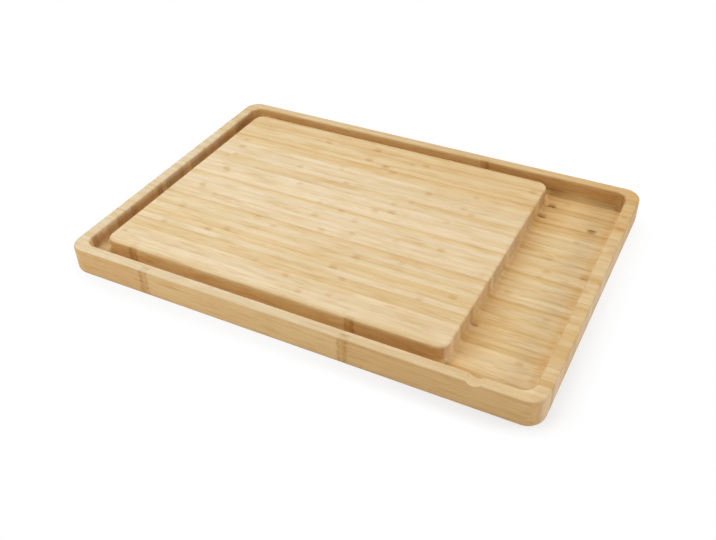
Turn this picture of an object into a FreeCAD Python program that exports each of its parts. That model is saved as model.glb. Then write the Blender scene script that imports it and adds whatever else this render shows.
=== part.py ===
import FreeCAD, Part
import math
import os
from FreeCAD import Vector

# A bamboo carving board: strips glued side by side, then milled to leave a raised block inside a rim.
# X runs along the strips, Y from the front edge to the back, Z up. The origin is under the board's middle.
# All sizes are in millimetres.

# The slab
board_length = 508.0
board_width = 355.6
board_thickness = 32.0
outer_corner_radius = 18.0
top_edge_radius = 3.0
underside_edge_radius = 6.5

# The strips it is glued up from
strip_thickness = 7.9

# The milled pocket and the block that is left standing in it
rim_width = 13.5
channel_width = 13.5
well_width = 84.0
pocket_depth = 17.0
pocket_corner_radius = 12.0
block_corner_radius = 13.0
cove_radius = 5.0

# The pour notch through the front rim
notch_from_right_edge = 62.0
notch_outer_width = 12.0
notch_inner_width = 16.0
notch_depth = 2.6
notch_edge_radius = 0.8

# How far a cutting tool runs past the face it cuts, and how closely two heights count as equal
overrun = 2.0
same_place = 1e-4

half_length = board_length / 2
half_width = board_width / 2
floor_height = board_thickness - pocket_depth


def rounded_prism(x_low, x_high, y_low, y_high, corner_radius, z_low, z_high):
    """An upright prism over a rectangle with round corners."""
    turn = corner_radius * (1 - math.sqrt(0.5))
    r = corner_radius

    def point(x, y):
        return Vector(x, y, z_low)

    starts = [point(x_low + r, y_low), point(x_high, y_low + r), point(x_high - r, y_high), point(x_low, y_high - r)]
    ends = [point(x_high - r, y_low), point(x_high, y_high - r), point(x_low + r, y_high), point(x_low, y_low + r)]
    bends = [point(x_high - turn, y_low + turn), point(x_high - turn, y_high - turn),
             point(x_low + turn, y_high - turn), point(x_low + turn, y_low + turn)]
    edges = []
    for side in range(4):
        next_start = starts[(side + 1) % 4]
        edges.append(Part.LineSegment(starts[side], ends[side]).toShape())
        edges.append(Part.Arc(ends[side], bends[side], next_start).toShape())
    return Part.Face(Part.Wire(edges)).extrude(Vector(0, 0, z_high - z_low))


def flat_edges(shape, height):
    """The edges that lie wholly at the given height."""
    found = []
    for edge in shape.Edges:
        box = edge.BoundBox
        if abs(box.ZMin - height) < same_place and abs(box.ZMax - height) < same_place:
            found.append(edge)
    return found


def milling_path():
    """The space that the router takes away: a pocket with the block left standing and coves along its floor."""
    block_x_low = -half_length + rim_width + channel_width
    block_x_high = half_length - rim_width - well_width
    block_y_reach = half_width - rim_width - channel_width
    above = board_thickness + overrun
    pocket = rounded_prism(-half_length + rim_width, half_length - rim_width,
                           -half_width + rim_width, half_width - rim_width,
                           pocket_corner_radius, floor_height, above)
    block = rounded_prism(block_x_low, block_x_high, -block_y_reach, block_y_reach,
                          block_corner_radius, floor_height - overrun, above + overrun)
    path = pocket.cut(block)
    return path.makeFillet(cove_radius, flat_edges(path, floor_height))


def notch_cutter():
    """A tapered round cutter that lies along Y above the front rim and widens towards the well."""
    mouth_radius = (notch_outer_width ** 2 / 4 + notch_depth ** 2) / (2 * notch_depth)
    axis_above_rim = mouth_radius - notch_depth
    throat_radius = math.hypot(notch_inner_width / 2, axis_above_rim)
    taper = (throat_radius - mouth_radius) / rim_width
    start = Vector(half_length - notch_from_right_edge, -half_width - overrun, board_thickness + axis_above_rim)
    return Part.makeCone(mouth_radius - taper * overrun, throat_radius + taper * overrun,
                         rim_width + 2 * overrun, start, Vector(0, 1, 0))


def notch_edges(shape):
    """The crisp edges round the notch, which is the only tapered face on the board."""
    return [edge for face in shape.Faces if isinstance(face.Surface, Part.Cone) for edge in face.Edges]


def milled_board():
    """The whole board after milling, before it is told apart into its strips."""
    slab = rounded_prism(-half_length, half_length, -half_width, half_width,
                         outer_corner_radius, 0, board_thickness)
    board = slab.cut(milling_path())
    board = board.makeFillet(top_edge_radius, flat_edges(board, board_thickness))
    board = board.makeFillet(underside_edge_radius, flat_edges(board, 0))
    board = board.cut(notch_cutter())
    return board.makeFillet(notch_edge_radius, notch_edges(board))


def strip_name(number, count):
    """Strips are counted from the front edge."""
    if number == 1:
        return "front_edge_strip"
    if number == count:
        return "back_edge_strip"
    return f"bamboo_strip_{number:02d}"


def strips(board):
    """The glued strips, which share the board's width evenly."""
    count = round(board_width / strip_thickness)
    pitch = board_width / count
    found = {}
    for number in range(1, count + 1):
        corner = Vector(-half_length - overrun, -half_width + (number - 1) * pitch, -overrun)
        slot = Part.makeBox(board_length + 2 * overrun, pitch, board_thickness + 2 * overrun, corner)
        found[strip_name(number, count)] = board.common(slot)
    return found


os.makedirs("parts", exist_ok=True)
for name, strip in strips(milled_board()).items():
    strip.exportStep(f"parts/{name}.step")
    print(name, len(strip.Solids), "solid", round(strip.Volume), "mm3", strip.isValid())
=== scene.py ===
"""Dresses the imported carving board: bamboo for every strip, and a white studio to look at it in."""

import math
import random
from types import SimpleNamespace

import bpy
from bpy.props import FloatProperty, FloatVectorProperty, PointerProperty
from mathutils import Matrix, Vector


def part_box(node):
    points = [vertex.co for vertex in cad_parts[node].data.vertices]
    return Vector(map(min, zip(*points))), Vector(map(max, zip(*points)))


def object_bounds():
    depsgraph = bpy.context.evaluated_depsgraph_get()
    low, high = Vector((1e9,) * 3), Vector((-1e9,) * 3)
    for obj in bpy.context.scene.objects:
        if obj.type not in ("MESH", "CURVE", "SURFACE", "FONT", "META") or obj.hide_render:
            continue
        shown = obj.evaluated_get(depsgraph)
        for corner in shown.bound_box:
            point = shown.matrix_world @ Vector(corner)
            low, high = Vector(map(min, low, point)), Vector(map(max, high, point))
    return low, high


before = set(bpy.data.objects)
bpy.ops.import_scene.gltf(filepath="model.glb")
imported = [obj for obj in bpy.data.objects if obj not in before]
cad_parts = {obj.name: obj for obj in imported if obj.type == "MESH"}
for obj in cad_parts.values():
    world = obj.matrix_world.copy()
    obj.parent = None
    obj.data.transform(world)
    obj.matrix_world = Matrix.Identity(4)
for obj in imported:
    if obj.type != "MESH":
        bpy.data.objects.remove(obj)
cad_low, cad_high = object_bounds()

bl_info = {
    "name": "Bamboo carving board",
    "version": (1, 0, 0),
    "blender": (4, 5, 0),
    "location": "3D View > Sidebar > Carving board",
    "description": "Finishes the glued strips of a bamboo carving board and lights it in a white studio",
    "category": "Object",
}

MM = 0.001
IMAGE_WIDTH = 716
# The board's length, width and thickness in millimetres
SIZE = (Vector(cad_high) - Vector(cad_low)) / MM
EDGE_STRIPS = ("front_edge_strip", "back_edge_strip")
CANE = "bamboo cane"

# The joints that show, by the strip's number from the front: the place of one joint along X and the
# distance to the next, in millimetres, and how strong they are. The strongest cross the front face, the
# front of the block, the floor of the well and the wall behind it.
SEEN_JOINTS = {
    1: (-156, 224, 1.0), 4: (-190, 251, 1.0), 6: (-2, 235, 0.6), 7: (28, 245, 0.5),
    8: (-25, 240, 0.6), 10: (28, 265, 0.7), 11: (107, 297, 0.6), 12: (161, 150, 0.9),
    13: (-121, 256, 0.7), 15: (24, 214, 0.7), 16: (-80, 150, 0.5), 19: (1, 172, 0.5),
    21: (96, 146, 0.7), 22: (-6, 270, 0.5), 23: (-28, 285, 0.85), 25: (5, 192, 0.7),
    26: (22, 212, 0.9), 29: (33, 240, 0.4), 30: (-49, 150, 0.6), 31: (-115, 204, 0.7),
    32: (44, 245, 0.85), 33: (-68, 278, 0.4), 34: (94, 300, 0.6), 35: (-12, 260, 0.85),
    36: (220, 245, 1.0), 37: (163, 211, 1.0), 38: (3, 245, 0.4), 39: (18, 128, 0.9),
    40: (167, 215, 1.0), 43: (235, 220, 0.9), 44: (75, 330, 1.0),
}
# The strips that aren't listed get theirs by chance, within these limits. No joint is weaker than its luck
# in the draw times the chance strength.
CHANCE_PLACE = (-90, 90)
CHANCE_SPACING = (160, 250)
CHANCE_STRENGTH = 0.6

# The palest canes lie mostly in the middle of the board and along its front edge, and the darkest at its
# back edge. Each strip's tone lies between two colours: how far towards the lighter one, and how bright.
PALE_STRIPS = (1, 2, 3, *range(5, 9), 11, 14, 16, *range(18, 23), *range(24, 29), *range(30, 34))
HONEY_STRIPS = (35, 40, *range(42, 46))
HONEY_LIGHTNESS = (0, 0.4)
OTHER_LIGHTNESS = (0.5, 1)
BRIGHTNESS = (0.95, 1.02)

# Strips with a dark glue line along their front side. Of the other sides one in three shows a faint line.
DARK_LINES = (18, 24, 36, 40, 43)
DARK_GLUE = 0.4
FAINT_GLUE = (0, 0, 0.15)
GLUE_FADE_POWER = 3

# How far the streaks of one strip are moved from those of the next, in streaks
STREAK_STEP = (31.7, 17.3, 11.9)
# Which draw gives the shades of the lengths of cane between joints, here with a pale length in the middle
# of the front face, and which gives the hues of the cut ends
LENGTH_DRAW = 25170
HUE_DRAW = 0.5

# The sanded and oiled surface: its refraction, and what can be felt of the fibres
OIL_IOR = 1.5
FIBRE_RELIEF = 0.1 * MM
RELIEF_STRENGTH = 0.2
ROUGHNESS_RANGE = 0.06

# Where a Mix node has its two colours among its inputs
FIRST_COLOUR = 6
SECOND_COLOUR = 7

# The floor in metres: half its side, and how far it lies under the board
FLOOR_HALF = 3.0
FLOOR_DROP = 0.2 * MM


def linear(code):
    """An sRGB hex value as linear red, green and blue, with an alpha of 1."""
    parts = [int(code[i:i + 2], 16) / 255 for i in (0, 2, 4)]
    return [p / 12.92 if p <= 0.04045 else ((p + 0.055) / 1.055) ** 2.4 for p in parts] + [1]


WHITE = linear("FFFFFF")
PAPER = linear("F5F5F6")
COLOUR_FIELD = {"subtype": "COLOR", "size": 4, "min": 0, "max": 1}


class BambooLook(bpy.types.PropertyGroup):
    """Colours and sizes of the pressed bamboo."""
    straw: FloatVectorProperty(
        name="Straw cane", description="Colour of most strips",
        default=linear("ECD5A9"), **COLOUR_FIELD)
    pale: FloatVectorProperty(
        name="Pale cane", description="Colour of the palest strips",
        default=linear("F1DFBF"), **COLOUR_FIELD)
    honey: FloatVectorProperty(
        name="Honey cane", description="Colour of the darkest strips",
        default=linear("E2C38F"), **COLOUR_FIELD)
    fibre: FloatVectorProperty(
        name="Fibre", description="Tint of the dense fibre bundles",
        default=linear("E0C27C"), **COLOUR_FIELD)
    pith: FloatVectorProperty(
        name="Pith", description="Colour of the pale tissue between the fibres",
        default=linear("F6E8CE"), **COLOUR_FIELD)
    joint: FloatVectorProperty(
        name="Joint", description="Tint of the cane's joints",
        default=linear("CFA548"), **COLOUR_FIELD)
    scar: FloatVectorProperty(
        name="Joint scar", description="Tint of the dark specks in a joint",
        default=linear("977627"), **COLOUR_FIELD)
    glue: FloatVectorProperty(
        name="Glue line", description="Tint of the lines between strips",
        default=linear("BE9A5C"), **COLOUR_FIELD)
    # The milled faces' tint stands partly for their oil and partly for painted shade of the pocket
    soaked: FloatVectorProperty(
        name="Oil-soaked", description="Tint of the milled faces, which take up more oil",
        default=linear("F7F0E0"), **COLOUR_FIELD)
    end_grain: FloatVectorProperty(
        name="End grain", description="Tint of the strips' cut ends",
        default=linear("F7EEDC"), **COLOUR_FIELD)
    end_pink: FloatVectorProperty(
        name="Pink end", description="Tint of the pinkest cut ends",
        default=linear("FCF2F8"), **COLOUR_FIELD)
    end_yellow: FloatVectorProperty(
        name="Yellow end", description="Tint of the yellowest cut ends",
        default=linear("FAF7F2"), **COLOUR_FIELD)
    # The rim's tops are mixed towards this colour as painted light, most of all on the left
    rim: FloatVectorProperty(
        name="Rim", description="Colour that the rim has faded towards",
        default=linear("D3C6AA"), **COLOUR_FIELD)
    broad_face: FloatVectorProperty(
        name="Broad face", description="Tint of the strips' broad faces, next to the skin",
        default=linear("F6E6CA"), **COLOUR_FIELD)
    dark_length: FloatVectorProperty(
        name="Dark length", description="Tint of the darkest lengths between joints",
        default=linear("EFE3D7"), **COLOUR_FIELD)
    fibre_width: FloatProperty(
        name="Fibre width", description="Width of one streak of fibres",
        unit="LENGTH", default=1.1 * MM, min=0.1 * MM, precision=5)
    fibre_length: FloatProperty(
        name="Fibre length", description="Length of one streak of fibres",
        unit="LENGTH", default=42 * MM, min=MM)
    joint_band: FloatProperty(
        name="Joint band", description="Half the length of cane that a joint darkens",
        unit="LENGTH", default=5 * MM, min=MM)
    joint_sway: FloatProperty(
        name="Joint sway", description="How far a joint strays along the cane on its way across it",
        unit="LENGTH", default=0.8 * MM, min=0, precision=5)
    glue_width: FloatProperty(
        name="Glue line width", description="How far the glue has darkened a strip's side",
        unit="LENGTH", default=6 * MM, min=0.05 * MM, precision=5)
    rim_width: FloatProperty(
        name="Rim width", description="From the board's edge to the milled pocket",
        unit="LENGTH", default=13.5 * MM, min=MM)
    well_width: FloatProperty(
        name="Well width", description="From the block to the rim on its right",
        unit="LENGTH", default=84 * MM, min=MM)
    easing: FloatProperty(
        name="Easing", description="Radius of the rounded upper edges",
        unit="LENGTH", default=3 * MM, min=0.1 * MM)
    roughness: FloatProperty(
        name="Roughness", description="Roughness of the sanded and oiled surface",
        subtype="FACTOR", default=0.55, min=0, max=1)
    gloss: FloatProperty(
        name="Gloss", description="How much the open pores leave of the oil's gloss",
        subtype="FACTOR", default=0.1, min=0, max=1)


class StudioLook(bpy.types.PropertyGroup):
    """The camera, the lamps and the shadow on the floor."""
    azimuth: FloatProperty(
        name="Azimuth", description="How far right of the front the camera stands",
        subtype="ANGLE", default=math.radians(28.128))
    elevation: FloatProperty(
        name="Elevation", description="How far above the horizon the camera stands",
        subtype="ANGLE", default=math.radians(38.217))
    roll: FloatProperty(
        name="Roll", description="Tilt of the picture",
        subtype="ANGLE", default=math.radians(-1.437))
    distance: FloatProperty(
        name="Distance", description="From the camera to what it aims at",
        unit="LENGTH", default=891.71 * MM)
    target: FloatVectorProperty(
        name="Target", description="What the camera aims at",
        subtype="TRANSLATION", default=(16.07 * MM, -46.15 * MM, 0))
    focal_pixels: FloatProperty(
        name="Focal length", description="Focal length in pixels of the picture",
        subtype="PIXEL", default=854.78, min=1)
    key_place: FloatVectorProperty(
        name="Key place", description="Middle of the softbox behind the board",
        subtype="TRANSLATION", default=(-0.4, 1.55, 2.25))
    key_size: FloatVectorProperty(
        name="Key size", description="Width and height of the softbox behind the board",
        unit="LENGTH", size=2, default=(1.2, 1.6))
    key_power: FloatProperty(
        name="Key power", description="Power of the softbox behind the board",
        unit="POWER", default=40.5, min=0)
    front_place: FloatVectorProperty(
        name="Front place", description="Middle of the softbox in front",
        subtype="TRANSLATION", default=(-0.9, -1.0, 0.85))
    front_size: FloatVectorProperty(
        name="Front size", description="Width and height of the softbox in front",
        unit="LENGTH", size=2, default=(1.0, 0.8))
    front_power: FloatProperty(
        name="Front power", description="Power of the softbox in front",
        unit="POWER", default=9.6, min=0)
    right_place: FloatVectorProperty(
        name="Right place", description="Middle of the softbox on the right",
        subtype="TRANSLATION", default=(1.5, 0.0, 0.6))
    right_size: FloatVectorProperty(
        name="Right size", description="Width and height of the softbox on the right",
        unit="LENGTH", size=2, default=(1.2, 0.45))
    right_power: FloatProperty(
        name="Right power", description="Power of the softbox on the right",
        unit="POWER", default=8.2, min=0)
    sky: FloatProperty(
        name="Room light", description="Strength of the light from the white room",
        default=0.3, min=0)
    faint_shadow: FloatProperty(
        name="Faint shadow", description="Share of the board's shadow that shows at the back left",
        subtype="FACTOR", default=0.12, min=0, max=1)
    deep_shadow: FloatProperty(
        name="Deep shadow", description="Share of the board's shadow that shows at the front right",
        subtype="FACTOR", default=0.29, min=0, max=1)
    shadow_round: FloatProperty(
        name="Shadow rounding", description="Radius of the shadow's corners",
        unit="LENGTH", default=32 * MM, min=MM)
    shadow_reach: FloatProperty(
        name="Shadow reach", description="How far the shadow shows in front of the board",
        unit="LENGTH", default=19 * MM, min=MM)
    shadow_narrowing: FloatProperty(
        name="Shadow narrowing", description="The shadow's reach in front, as a share of that at the sides",
        subtype="FACTOR", default=0.6, min=0.1, max=1)


def add(tree, kind, inputs=(), **settings):
    """Adds a node with its settings and links. Its inputs come in their own order, or by name or number.
    A node, which stands for its first output in use, or a socket gets linked, and a value is set."""
    made = tree.nodes.new(kind)
    for key, value in settings.items():
        setattr(made, key, value)
    by_key = inputs if isinstance(inputs, dict) else dict(enumerate(inputs))
    for key, value in by_key.items():
        if isinstance(value, bpy.types.Node):
            value = next(output for output in value.outputs if output.enabled)
        if isinstance(value, bpy.types.NodeSocket):
            tree.links.new(value, made.inputs[key])
        else:
            made.inputs[key].default_value = value
    return made


def cane_sockets():
    """An empty node group with the sockets of the bamboo finish."""
    tree = bpy.data.node_groups.new(CANE, "ShaderNodeTree")
    for way, kind, names in (
        ("INPUT", "NodeSocketColor", ("Tone",)),
        ("INPUT", "NodeSocketFloat", ("Seed", "Front", "Back", "Dense side")),
        ("INPUT", "NodeSocketFloat", ("Joint place", "Joint spacing", "Joint strength")),
        ("INPUT", "NodeSocketFloat", ("Front glue", "Back glue")),
        ("OUTPUT", "NodeSocketColor", ("Color",)),
        ("OUTPUT", "NodeSocketFloat", ("Roughness", "Height")),
    ):
        for name in names:
            tree.interface.new_socket(name, in_out=way, socket_type=kind)
    return tree


def surface(tree, given, look):
    """Where a point of the board's surface lies, in millimetres, and on what kind of face."""
    at = SimpleNamespace()
    spot = add(tree, "ShaderNodeTexCoord").outputs
    at.place = add(tree, "ShaderNodeVectorMath", {0: spot["Object"], "Scale": 1 / MM}, operation="SCALE")
    at.x, at.y, at.z = add(tree, "ShaderNodeSeparateXYZ", (at.place,)).outputs

    # A strip's cut ends face along X, its broad faces along Y, and level faces along Z
    facing = add(tree, "ShaderNodeVectorMath", (spot["Normal"],), operation="ABSOLUTE")
    along_x, along_y, at.level = add(tree, "ShaderNodeSeparateXYZ", (facing,)).outputs
    at.cut_end = add(tree, "ShaderNodeMapRange", {
        "Value": along_x, "From Min": 0.6, "From Max": 0.95}, interpolation_type="SMOOTHSTEP")
    at.broad = add(tree, "ShaderNodeMapRange", {
        "Value": along_y, "From Min": 0.4, "From Max": 0.8}, interpolation_type="SMOOTHSTEP")

    # The milled faces lie within the rim and below the top
    easing = look.easing / MM
    between_walls = []
    for place, length in ((at.x, SIZE.x), (at.y, SIZE.y)):
        wall = length / 2 - look.rim_width / MM
        out = add(tree, "ShaderNodeMath", (place,), operation="ABSOLUTE")
        between_walls.append(add(tree, "ShaderNodeMapRange", {
            "Value": out, "From Min": wall, "From Max": wall + easing, "To Min": 1, "To Max": 0}))
    within = add(tree, "ShaderNodeMath", between_walls, operation="MULTIPLY")
    below = add(tree, "ShaderNodeMapRange", {
        "Value": at.z, "From Min": SIZE.z - easing, "From Max": SIZE.z, "To Min": 1, "To Max": 0})
    at.milled = add(tree, "ShaderNodeMath", (within, below), operation="MULTIPLY")
    at.on_rim = add(tree, "ShaderNodeMath", (1, within), operation="SUBTRACT")

    # The fibres are densest at one side of the strip, next to the skin of the cane
    across = add(tree, "ShaderNodeMapRange", {
        "Value": at.y, "From Min": given["Front"], "From Max": given["Back"]})
    from_skin = add(tree, "ShaderNodeMath", (across, given["Dense side"]), operation="SUBTRACT")
    from_skin = add(tree, "ShaderNodeMath", (from_skin,), operation="ABSOLUTE")
    at.dense = add(tree, "ShaderNodeMapRange", {
        "Value": from_skin, "From Max": 0.9, "To Min": 1, "To Max": 0}, interpolation_type="SMOOTHSTEP")
    return at


def streak_patterns(tree, given, look, at):
    """Streaks and patches of several sizes: their length along the cane and width across it, both in
    millimetres, and how fine their detail is. The fibre bundles are drawn about three times as wide as
    real ones, which would be too fine to show."""
    wide = look.fibre_width / MM
    long = look.fibre_length / MM
    step = add(tree, "ShaderNodeVectorMath", {0: STREAK_STEP, "Scale": given["Seed"]}, operation="SCALE")
    patterns = {}
    for name, length, width, detail in (
        ("fibre", long, wide, 3), ("band", long * 4, wide * 2.6, 2), ("patch", 24, wide * 3, 1),
        ("drift", 75, 30, 2), ("speck", 7, 1.7, 1), ("dot", 3.5, 2.2, 0), ("sway", 400, 6, 0),
    ):
        per_mm = (1 / length, 1 / width, 1 / width)
        spot = add(tree, "ShaderNodeVectorMath", (at.place, per_mm, step), operation="MULTIPLY_ADD")
        patterns[name] = add(tree, "ShaderNodeTexNoise", {
            "Vector": spot, "Scale": 1, "Detail": detail, "Roughness": 0.6})
    return patterns


def grain_shares(tree, patterns, at):
    """How much shows of each pattern of the grain. Broad faces have more fibres and fainter drifts, and
    milled faces have darker patches."""
    fibrous = add(tree, "ShaderNodeMapRange", {"Value": at.broad, "To Min": 0.26, "To Max": 0.5})
    drifting = add(tree, "ShaderNodeMapRange", {"Value": at.broad, "To Min": 0.4, "To Max": 0.15})
    patchy = add(tree, "ShaderNodeMapRange", {"Value": at.milled, "To Min": 0.25, "To Max": 0.4})
    shares = {"skin": add(tree, "ShaderNodeMapRange", {"Value": at.dense, "To Max": 0.15})}
    for name, none, full, most in (
        ("band", 0.48, 0.75, 0.2), ("drift", 0.45, 0.75, drifting),
        ("patch", 0.5, 0.8, patchy), ("fibre", 0.45, 0.78, fibrous),
    ):
        shares[name] = add(tree, "ShaderNodeMapRange", {
            "Value": patterns[name], "From Min": none, "From Max": full, "To Max": most})
    return shares


def nearest_joint(tree, given, look, patterns, at):
    """The nearest joint of the cane: its strength, how far off it is and how it fills the strip, and the
    number of the length of cane between two joints."""
    joint = SimpleNamespace()
    along = add(tree, "ShaderNodeMath", (at.x, given["Joint place"]), operation="SUBTRACT")
    lengths = add(tree, "ShaderNodeMath", (along, given["Joint spacing"]), operation="DIVIDE")
    joint.length = add(tree, "ShaderNodeMath", (lengths,), operation="FLOOR")
    number = add(tree, "ShaderNodeMath", (lengths,), operation="ROUND")

    # A joint is as strong as it is given, or as the draw makes it if that is more
    draw = add(tree, "ShaderNodeCombineXYZ", (number, given["Seed"]))
    luck = add(tree, "ShaderNodeTexWhiteNoise", {"Vector": draw}, noise_dimensions="2D")
    luck = add(tree, "ShaderNodeMath", (luck, CHANCE_STRENGTH), operation="MULTIPLY")
    joint.strength = add(tree, "ShaderNodeMath", (luck, given["Joint strength"]), operation="MAXIMUM")

    # It sways a little on its way across the strip, and a weak one is shorter
    place = add(tree, "ShaderNodeMath", (number, given["Joint spacing"]), operation="MULTIPLY")
    off = add(tree, "ShaderNodeMath", (along, place), operation="SUBTRACT")
    sway = add(tree, "ShaderNodeMapRange", {
        "Value": patterns["sway"], "From Min": 0.25, "From Max": 0.75,
        "To Min": -look.joint_sway / MM, "To Max": look.joint_sway / MM})
    off = add(tree, "ShaderNodeMath", (off, sway), operation="ADD")
    off = add(tree, "ShaderNodeMath", (off,), operation="ABSOLUTE")
    extent = add(tree, "ShaderNodeMapRange", {"Value": joint.strength, "To Min": 0.45})
    joint.off = add(tree, "ShaderNodeMath", (off, extent), operation="DIVIDE")

    # On a narrow edge it shows in specks and most at the dense side, on a broad face all over
    joint.specks = add(tree, "ShaderNodeMapRange", {
        "Value": patterns["speck"], "From Min": 0.2, "From Max": 0.6}, interpolation_type="SMOOTHSTEP")
    lean = add(tree, "ShaderNodeMapRange", {"Value": at.dense, "To Min": 0.3})
    joint.lean = add(tree, "ShaderNodeMix", {"Factor": at.broad, "A": lean, "B": 1})
    return joint


def joint_smudge(tree, look, at, joint):
    """How much a joint darkens the cane: a soft smudge on a narrow edge, a band on a broad face."""
    band = look.joint_band / MM
    share = add(tree, "ShaderNodeMapRange", {
        "Value": joint.off, "From Min": 0.3 * band, "From Max": 1.5 * band, "To Min": 1, "To Max": 0},
        interpolation_type="SMOOTHSTEP")
    edge_depth = add(tree, "ShaderNodeMapRange", {"Value": joint.strength, "To Min": 0.1, "To Max": 0.5})
    edge_fill = add(tree, "ShaderNodeMapRange", {"Value": joint.specks, "To Min": 0.6})
    face_fill = add(tree, "ShaderNodeMapRange", {"Value": at.milled, "To Min": 0.36, "To Max": 0.5})
    depth = add(tree, "ShaderNodeMix", {"Factor": at.broad, "A": edge_depth, "B": 0.9})
    fill = add(tree, "ShaderNodeMix", {"Factor": at.broad, "A": edge_fill, "B": face_fill})
    for part in (depth, fill, joint.lean):
        share = add(tree, "ShaderNodeMath", (share, part), operation="MULTIPLY")
    return share


def joint_scar(tree, look, patterns, at, joint):
    """How much shows of a joint's dark specks: the core of a strong joint on a narrow edge, mostly where
    it was milled, and the two broken rims of every joint on a broad face."""
    band = look.joint_band / MM
    core = add(tree, "ShaderNodeMapRange", {
        "Value": joint.off, "From Min": 0.3 * band, "From Max": 1.3 * band, "To Min": 0.9, "To Max": 0},
        interpolation_type="SMOOTHSTEP")
    strong = add(tree, "ShaderNodeMapRange", {"Value": joint.strength, "From Min": 0.85})
    for part in (strong, joint.lean):
        core = add(tree, "ShaderNodeMath", (core, part), operation="MULTIPLY")

    rim = add(tree, "ShaderNodeMath", (joint.off, 0.75 * band), operation="SUBTRACT")
    rim = add(tree, "ShaderNodeMath", (rim,), operation="ABSOLUTE")
    rim = add(tree, "ShaderNodeMapRange", {
        "Value": rim, "From Min": 0.3, "From Max": 2, "To Min": 0.7, "To Max": 0})

    bared = add(tree, "ShaderNodeMapRange", {"Value": at.milled, "To Min": 0.1, "To Max": 0.95})
    dots = add(tree, "ShaderNodeMapRange", {
        "Value": patterns["dot"], "From Min": 0.42, "From Max": 0.58, "To Min": 0.3, "To Max": 1.4})
    share = add(tree, "ShaderNodeMix", {"Factor": at.broad, "A": core, "B": rim})
    for on_edge, on_face in ((joint.specks, dots), (bared, 0.3)):
        part = add(tree, "ShaderNodeMix", {"Factor": at.broad, "A": on_edge, "B": on_face})
        share = add(tree, "ShaderNodeMath", (share, part), operation="MULTIPLY")
    return share


def glue_lines(tree, given, look, at):
    """How dark the glue shows along both sides of a strip, most of all on milled faces."""
    lines = []
    for side, inwards in (("Front", 1), ("Back", -1)):
        gap = add(tree, "ShaderNodeMath", (at.y, given[side]), operation="SUBTRACT")
        gap = add(tree, "ShaderNodeMath", (gap, inwards), operation="MULTIPLY")
        line = add(tree, "ShaderNodeMapRange", {
            "Value": gap, "From Max": look.glue_width / MM, "To Min": 1, "To Max": 0})
        line = add(tree, "ShaderNodeMath", (line, GLUE_FADE_POWER), operation="POWER")
        lines.append(add(tree, "ShaderNodeMath", (line, given[side + " glue"]), operation="MULTIPLY"))
    darker = add(tree, "ShaderNodeMath", lines, operation="MAXIMUM")
    bared = add(tree, "ShaderNodeMapRange", {"Value": at.milled, "To Min": 0.6})
    return add(tree, "ShaderNodeMath", (darker, bared), operation="MULTIPLY")


def cut_ends(tree, given, look, at):
    """The looks of the cut ends: an even grain, and a shade for each cane, pinkish or yellowish. The
    shades differ most on the milled walls."""
    ends = SimpleNamespace()
    ends.even = add(tree, "ShaderNodeMix", {
        "Factor": 1, FIRST_COLOUR: given["Tone"], SECOND_COLOUR: look.end_grain},
        data_type="RGBA", blend_type="MULTIPLY")
    ends.evened = add(tree, "ShaderNodeMapRange", {"Value": at.cut_end, "To Max": 0.6})

    luck = add(tree, "ShaderNodeTexWhiteNoise", {"W": given["Seed"]}, noise_dimensions="1D")
    darkest = add(tree, "ShaderNodeMapRange", {"Value": at.milled, "To Min": 0.78, "To Max": 0.74})
    palest = add(tree, "ShaderNodeMapRange", {"Value": at.milled, "To Min": 0.89, "To Max": 1.02})
    ends.shade = add(tree, "ShaderNodeMapRange", {"Value": luck, "To Min": darkest, "To Max": palest})

    seed = add(tree, "ShaderNodeMath", (given["Seed"], HUE_DRAW), operation="ADD")
    pinkness = add(tree, "ShaderNodeTexWhiteNoise", {"W": seed}, noise_dimensions="1D")
    ends.hue = add(tree, "ShaderNodeMix", {
        "Factor": pinkness, FIRST_COLOUR: look.end_yellow, SECOND_COLOUR: look.end_pink},
        data_type="RGBA")
    return ends


def length_tints(tree, given, look, joint):
    """The tints of the lengths of cane between two joints, which show on the broad faces."""
    seed = add(tree, "ShaderNodeMath", (given["Seed"], LENGTH_DRAW), operation="ADD")
    draw = add(tree, "ShaderNodeCombineXYZ", (joint.length, seed))
    luck = add(tree, "ShaderNodeTexWhiteNoise", {"Vector": draw}, noise_dimensions="2D")
    return add(tree, "ShaderNodeMix", {
        "Factor": luck, FIRST_COLOUR: look.dark_length, SECOND_COLOUR: WHITE}, data_type="RGBA")


def skin_oil_and_shade(tree, at):
    """How much shows of the skin's tint on broad faces, less where they were milled, and of the milled
    faces' tint,
    less on cut ends: partly the oil that milled faces take up and partly painted shade of the pocket."""
    skin_side = add(tree, "ShaderNodeMapRange", {"Value": at.milled, "To Min": 1, "To Max": 0.15})
    skin_side = add(tree, "ShaderNodeMath", (skin_side, at.broad), operation="MULTIPLY")
    # The milled faces' tint stands partly for the oil they take up and partly for painted shade of the
    # pocket
    oiled = add(tree, "ShaderNodeMapRange", {"Value": at.cut_end, "To Min": 1, "To Max": 0.4})
    oiled = add(tree, "ShaderNodeMath", (oiled, at.milled), operation="MULTIPLY")
    return skin_side, oiled


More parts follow.
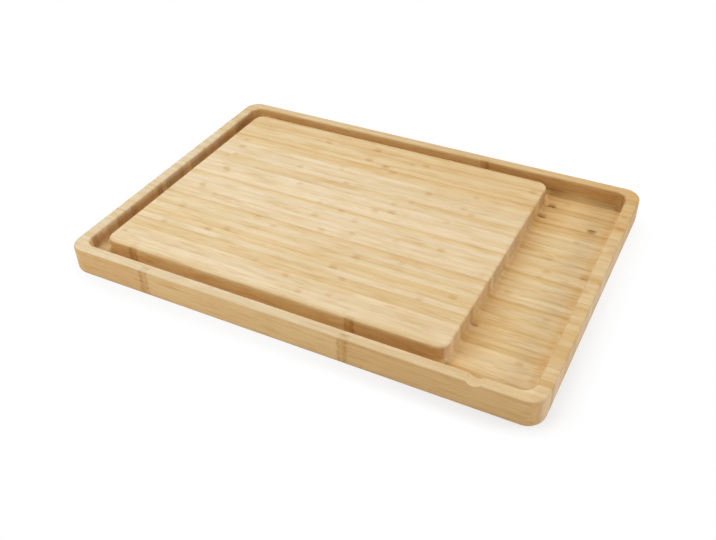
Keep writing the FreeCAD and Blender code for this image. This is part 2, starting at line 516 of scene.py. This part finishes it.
def painted_light_gradient(tree, at):
    """How much painted light the tops get: the rim is painted paler, most of all on the left, and the tops
    are painted darker and yellower towards the right, most of all on the rim."""
    right_edge = SIZE.x / 2
    fading_from = 0.1 * SIZE.x
    golden_from = -0.2 * SIZE.x
    painted_pale = add(tree, "ShaderNodeMapRange", {
        "Value": at.x, "From Min": fading_from, "From Max": right_edge, "To Min": 0.25, "To Max": 0})
    for part in (at.on_rim, at.level):
        painted_pale = add(tree, "ShaderNodeMath", (painted_pale, part), operation="MULTIPLY")

    painted_golden_shade = add(tree, "ShaderNodeMapRange", {
        "Value": at.x, "From Min": golden_from, "From Max": right_edge, "To Max": 0.26})
    unmilled = add(tree, "ShaderNodeMath", (1, at.milled), operation="SUBTRACT")
    more_on_rim = add(tree, "ShaderNodeMapRange", {"Value": at.on_rim, "To Min": 1, "To Max": 1.7})
    for part in (at.level, unmilled, more_on_rim):
        painted_golden_shade = add(tree, "ShaderNodeMath", (painted_golden_shade, part), operation="MULTIPLY")
    return painted_pale, painted_golden_shade


def painted_well_shade(tree, look, at):
    """How much painted shade darkens the floor of the well, at the block's foot and along the wall
    opposite, where shade falls. The distances from them, in millimetres, are where the darkening starts and
    ends."""
    foot_near, foot_far = 6, 36
    wall_near, wall_far = 5, 12
    wall_x = SIZE.x / 2 - look.rim_width / MM
    block_x = wall_x - look.well_width / MM
    foot = add(tree, "ShaderNodeMapRange", {
        "Value": at.x, "From Min": block_x + foot_near, "From Max": block_x + foot_far,
        "To Min": 0.45, "To Max": 0})
    opposite = add(tree, "ShaderNodeMapRange", {
        "Value": at.x, "From Min": wall_x - wall_far, "From Max": wall_x - wall_near, "To Max": 0.25})
    share = add(tree, "ShaderNodeMath", (foot, opposite), operation="MAXIMUM")
    in_well = add(tree, "ShaderNodeMath", (at.x, block_x), operation="GREATER_THAN")
    for part in (in_well, at.milled, at.level):
        share = add(tree, "ShaderNodeMath", (share, part), operation="MULTIPLY")
    return share


def bamboo_cane(look):
    """Bamboo, split into strips, pressed, glued, milled and sanded. That gives the eye long fibres that lie
    along X, denser towards one side of each strip, a darker joint every hand's breadth or two, and a change
    of shade from strip to strip, most of all where the strips are cut across."""
    tree = cane_sockets()
    given = add(tree, "NodeGroupInput").outputs
    at = surface(tree, given, look)
    patterns = streak_patterns(tree, given, look, at)
    grain = grain_shares(tree, patterns, at)
    joint = nearest_joint(tree, given, look, patterns, at)
    ends = cut_ends(tree, given, look, at)
    skin_side, oiled = skin_oil_and_shade(tree, at)
    painted_pale, painted_golden_shade = painted_light_gradient(tree, at)

    # The layers over the strip's own tone, from the first to the last: how much shows of which tint
    layers = (
        (grain["band"], look.pith, "MIX"),
        (grain["drift"], look.fibre, "MULTIPLY"),
        (grain["patch"], look.joint, "MULTIPLY"),
        (grain["fibre"], look.fibre, "MULTIPLY"),
        (grain["skin"], look.fibre, "MULTIPLY"),
        (joint_smudge(tree, look, at, joint), look.joint, "MULTIPLY"),
        (joint_scar(tree, look, patterns, at, joint), look.scar, "MULTIPLY"),
        (glue_lines(tree, given, look, at), look.glue, "MULTIPLY"),
        (ends.evened, ends.even, "MIX"),
        # Painted light: the rim paler towards the left
        (painted_pale, look.rim, "MIX"),
        (at.cut_end, ends.shade, "MULTIPLY"),
        (at.cut_end, ends.hue, "MULTIPLY"),
        (skin_side, look.broad_face, "MULTIPLY"),
        (at.broad, length_tints(tree, given, look, joint), "MULTIPLY"),
        # The milled faces' tint: partly their oil, partly painted shade of the pocket
        (oiled, look.soaked, "MULTIPLY"),
        # Painted shade: the tops darker and yellower towards the right, most of all on the rim
        (painted_golden_shade, look.fibre, "MULTIPLY"),
        # Painted shade on the floor of the well, at the block's foot and along the wall opposite
        (painted_well_shade(tree, look, at), look.fibre, "MULTIPLY"),
    )
    colour = given["Tone"]
    for share, tint, way in layers:
        colour = add(tree, "ShaderNodeMix", {"Factor": share, FIRST_COLOUR: colour, SECOND_COLOUR: tint},
                     data_type="RGBA", blend_type=way)
    rough = add(tree, "ShaderNodeMapRange", {
        "Value": patterns["fibre"], "From Min": 0.3, "From Max": 0.7,
        "To Min": look.roughness - ROUGHNESS_RANGE, "To Max": look.roughness + ROUGHNESS_RANGE})
    add(tree, "NodeGroupOutput", {"Color": colour, "Roughness": rough, "Height": patterns["fibre"]})
    return tree


def glue_shade(number, glued, chance):
    """How dark the glue shows on the line in front of the strip with this number."""
    if number in DARK_LINES:
        return DARK_GLUE
    return chance.choice(FAINT_GLUE) if glued else 0


def strip_finish(name, number, look, cane):
    """Bamboo, sanded and oiled, for one strip. That gives the eye a dull satin, because the open pores take
    most of the oil's gloss, and fibres that just stand out."""
    low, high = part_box(name)
    chance = random.Random(number)
    darker, lighter = (look.straw, look.pale) if number in PALE_STRIPS else (look.honey, look.straw)
    lightness = chance.uniform(*(HONEY_LIGHTNESS if number in HONEY_STRIPS else OTHER_LIGHTNESS))
    tone = Vector(darker).lerp(Vector(lighter), lightness) * chance.uniform(*BRIGHTNESS)
    tone.w = 1
    by_chance = (chance.uniform(*CHANCE_PLACE), chance.uniform(*CHANCE_SPACING), 0)
    place, spacing, strength = SEEN_JOINTS.get(number, by_chance)

    finish = bpy.data.materials.new(f"oiled bamboo {number:02d}")
    finish.use_nodes = True
    tree = finish.node_tree
    tree.nodes.clear()
    pattern = add(tree, "ShaderNodeGroup", {
        "Tone": tone,
        "Seed": number,
        "Front": low.y / MM,
        "Back": high.y / MM,
        "Dense side": chance.choice((0, 1)),
        "Joint place": place,
        "Joint spacing": spacing,
        "Joint strength": strength,
        "Front glue": glue_shade(number, number > 1, chance),
        "Back glue": glue_shade(number + 1, name not in EDGE_STRIPS, chance),
    }, node_tree=cane).outputs
    bump = add(tree, "ShaderNodeBump", {
        "Strength": RELIEF_STRENGTH, "Distance": FIBRE_RELIEF, "Height": pattern["Height"]})
    shader = add(tree, "ShaderNodeBsdfPrincipled", {
        "Base Color": pattern["Color"], "Roughness": pattern["Roughness"], "Normal": bump,
        "IOR": OIL_IOR, "Specular IOR Level": look.gloss})
    add(tree, "ShaderNodeOutputMaterial", {"Surface": shader})
    return finish


def finish_strips(names, look):
    """Gives each of these strips its own length of bamboo."""
    cane = bpy.data.node_groups.get(CANE) or bamboo_cane(look)
    in_order = sorted(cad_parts, key=lambda name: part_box(name)[0].y)
    for name in names:
        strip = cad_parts[name]
        strip.data.materials.clear()
        strip.data.materials.append(strip_finish(name, in_order.index(name) + 1, look, cane))


class CARVING_BOARD_OT_edge_strips(bpy.types.Operator):
    """Finish the two outermost strips, whose broad faces are the board's front and back"""
    bl_idname = "carving_board.edge_strips"
    bl_label = "Finish the edge strips"

    def execute(self, context):
        finish_strips(EDGE_STRIPS, context.scene.bamboo_look)
        return {"FINISHED"}


class CARVING_BOARD_OT_inner_strips(bpy.types.Operator):
    """Finish the strips between, whose narrow edges are the block's top and the floor of the well"""
    bl_idname = "carving_board.inner_strips"
    bl_label = "Finish the inner strips"

    def execute(self, context):
        inner = sorted(set(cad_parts) - set(EDGE_STRIPS))
        if not inner:
            raise RuntimeError("the packed model has no strips between its edge strips")
        finish_strips(inner, context.scene.bamboo_look)
        return {"FINISHED"}


def white_to_the_eye(tree):
    """1 for rays from the camera, or by way of gloss or glass, which are to see a white room."""
    path = add(tree, "ShaderNodeLightPath").outputs
    seen = path["Is Camera Ray"]
    for ray in ("Is Glossy Ray", "Is Transmission Ray"):
        seen = add(tree, "ShaderNodeMath", (seen, path[ray]), operation="MAXIMUM")
    return seen


def white_room(studio):
    """A world that lights evenly and looks white."""
    world = bpy.data.worlds.new("white room")
    bpy.context.scene.world = world
    world.use_nodes = True
    tree = world.node_tree
    tree.nodes.clear()
    light = add(tree, "ShaderNodeBackground", {"Color": WHITE, "Strength": studio.sky})
    white = add(tree, "ShaderNodeBackground", {"Color": WHITE, "Strength": 1})
    mix = add(tree, "ShaderNodeMixShader", (white_to_the_eye(tree), light, white))
    add(tree, "ShaderNodeOutputWorld", {"Surface": mix})


def whiteness(tree, studio):
    """How white the paper looks: all white away from the board, and less beside it, where a share of the
    shadow shows. It reaches farther at the sides than in front, and fades round the corners."""
    spot = add(tree, "ShaderNodeTexCoord").outputs["Object"]
    rounding = studio.shadow_round
    narrowing = studio.shadow_narrowing
    shadow_start = rounding + 0.1 * studio.shadow_reach
    shadow_end = rounding + studio.shadow_reach
    inner = Vector(cad_high) - Vector((rounding / narrowing, rounding, 0))
    away = add(tree, "ShaderNodeVectorMath", (spot,), operation="ABSOLUTE")
    away = add(tree, "ShaderNodeVectorMath", (away, inner), operation="SUBTRACT")
    away = add(tree, "ShaderNodeVectorMath", (away,), operation="MAXIMUM")
    away = add(tree, "ShaderNodeVectorMath", (away, (narrowing, 1, 0)), operation="MULTIPLY")
    away = add(tree, "ShaderNodeVectorMath", (away,), operation="LENGTH")

    # The shadow gets deeper towards the front right
    half_width = cad_high[1]
    towards = add(tree, "ShaderNodeVectorMath", (spot, (1, -1, 0)), operation="DOT_PRODUCT")
    beside = add(tree, "ShaderNodeMapRange", {
        "Value": towards, "From Min": half_width, "From Max": 2.1 * half_width,
        "To Min": 1 - studio.faint_shadow, "To Max": 1 - studio.deep_shadow})
    return add(tree, "ShaderNodeMapRange", {
        "Value": away, "From Min": shadow_start, "From Max": shadow_end, "To Min": beside},
        interpolation_type="SMOOTHSTEP")


def white_paper(studio):
    """Matt white paper, uncoated. That gives the eye no gloss, and white but for the board's shadow."""
    matt = bpy.data.materials.new("matt white paper")
    matt.use_nodes = True
    tree = matt.node_tree
    tree.nodes.clear()
    paper = add(tree, "ShaderNodeBsdfDiffuse", {"Color": PAPER})
    white = add(tree, "ShaderNodeEmission", {"Color": WHITE, "Strength": 1})
    shares = (white_to_the_eye(tree), whiteness(tree, studio))
    seen_white = add(tree, "ShaderNodeMath", shares, operation="MULTIPLY")
    mix = add(tree, "ShaderNodeMixShader", (seen_white, paper, white))
    add(tree, "ShaderNodeOutputMaterial", {"Surface": mix})
    return matt


def floor(studio):
    """A square of white paper under the board."""
    square = ((-1, -1), (1, -1), (1, 1), (-1, 1))
    mesh = bpy.data.meshes.new("floor")
    mesh.from_pydata([(x * FLOOR_HALF, y * FLOOR_HALF, -FLOOR_DROP) for x, y in square], [], [(0, 1, 2, 3)])
    mesh.materials.append(white_paper(studio))
    made = bpy.data.objects.new("floor", mesh)
    bpy.context.scene.collection.objects.link(made)


def softbox(name, place, size, power):
    """A rectangular lamp that faces the board's middle."""
    lamp = bpy.data.lights.new(name, "AREA")
    lamp.shape = "RECTANGLE"
    lamp.size, lamp.size_y = size
    lamp.energy = power
    made = bpy.data.objects.new(name, lamp)
    made.location = place
    made.rotation_euler = Vector(place).to_track_quat("Z", "Y").to_euler()
    bpy.context.scene.collection.objects.link(made)


def camera(studio):
    """A camera at the photograph's place."""
    turn = studio.azimuth
    rise = studio.elevation
    roll = studio.roll
    back = Vector((math.sin(turn) * math.cos(rise), -math.cos(turn) * math.cos(rise), math.sin(rise)))
    level = Vector((math.cos(turn), math.sin(turn), 0))
    upright = back.cross(level)
    right = level * math.cos(roll) + upright * math.sin(roll)
    up = upright * math.cos(roll) - level * math.sin(roll)
    made = bpy.data.objects.new("camera", bpy.data.cameras.new("camera"))
    facing = Matrix((right, up, back)).transposed().to_4x4()
    made.matrix_world = Matrix.Translation(Vector(studio.target) + back * studio.distance) @ facing
    made.data.sensor_fit = "HORIZONTAL"
    made.data.lens = made.data.sensor_width * studio.focal_pixels / IMAGE_WIDTH
    made.data.clip_start = 10 * MM
    bpy.context.scene.collection.objects.link(made)
    bpy.context.scene.camera = made


class CARVING_BOARD_OT_stage(bpy.types.Operator):
    """Set up the floor, the white room, the softboxes and the camera"""
    bl_idname = "carving_board.stage"
    bl_label = "Set the stage"

    def execute(self, context):
        studio = context.scene.studio_look
        context.scene.view_settings.view_transform = "Standard"
        white_room(studio)
        floor(studio)
        softbox("key softbox", studio.key_place, studio.key_size, studio.key_power)
        softbox("front softbox", studio.front_place, studio.front_size, studio.front_power)
        softbox("right softbox", studio.right_place, studio.right_size, studio.right_power)
        camera(studio)
        return {"FINISHED"}


class CARVING_BOARD_PT_panel(bpy.types.Panel):
    """Steps and settings of the carving board"""
    bl_label = "Carving board"
    bl_idname = "CARVING_BOARD_PT_panel"
    bl_space_type = "VIEW_3D"
    bl_region_type = "UI"
    bl_category = "Carving board"

    def draw(self, context):
        for step in STEPS:
            self.layout.operator(step.bl_idname)
        for group in (context.scene.bamboo_look, context.scene.studio_look):
            column = self.layout.column()
            for name in group.__annotations__:
                column.prop(group, name)


STEPS = (CARVING_BOARD_OT_edge_strips, CARVING_BOARD_OT_inner_strips, CARVING_BOARD_OT_stage)
CLASSES = (BambooLook, StudioLook, *STEPS, CARVING_BOARD_PT_panel)


def register():
    """Adds the operators, the panel and the settings to Blender."""
    for each in CLASSES:
        bpy.utils.register_class(each)
    bpy.types.Scene.bamboo_look = PointerProperty(type=BambooLook)
    bpy.types.Scene.studio_look = PointerProperty(type=StudioLook)


def unregister():
    """Takes them away again."""
    del bpy.types.Scene.studio_look
    del bpy.types.Scene.bamboo_look
    for each in reversed(CLASSES):
        bpy.utils.unregister_class(each)


def main():
    """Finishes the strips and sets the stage."""
    register()
    bpy.ops.carving_board.edge_strips()
    bpy.ops.carving_board.inner_strips()
    bpy.ops.carving_board.stage()


if __name__ == "__main__":
    main()
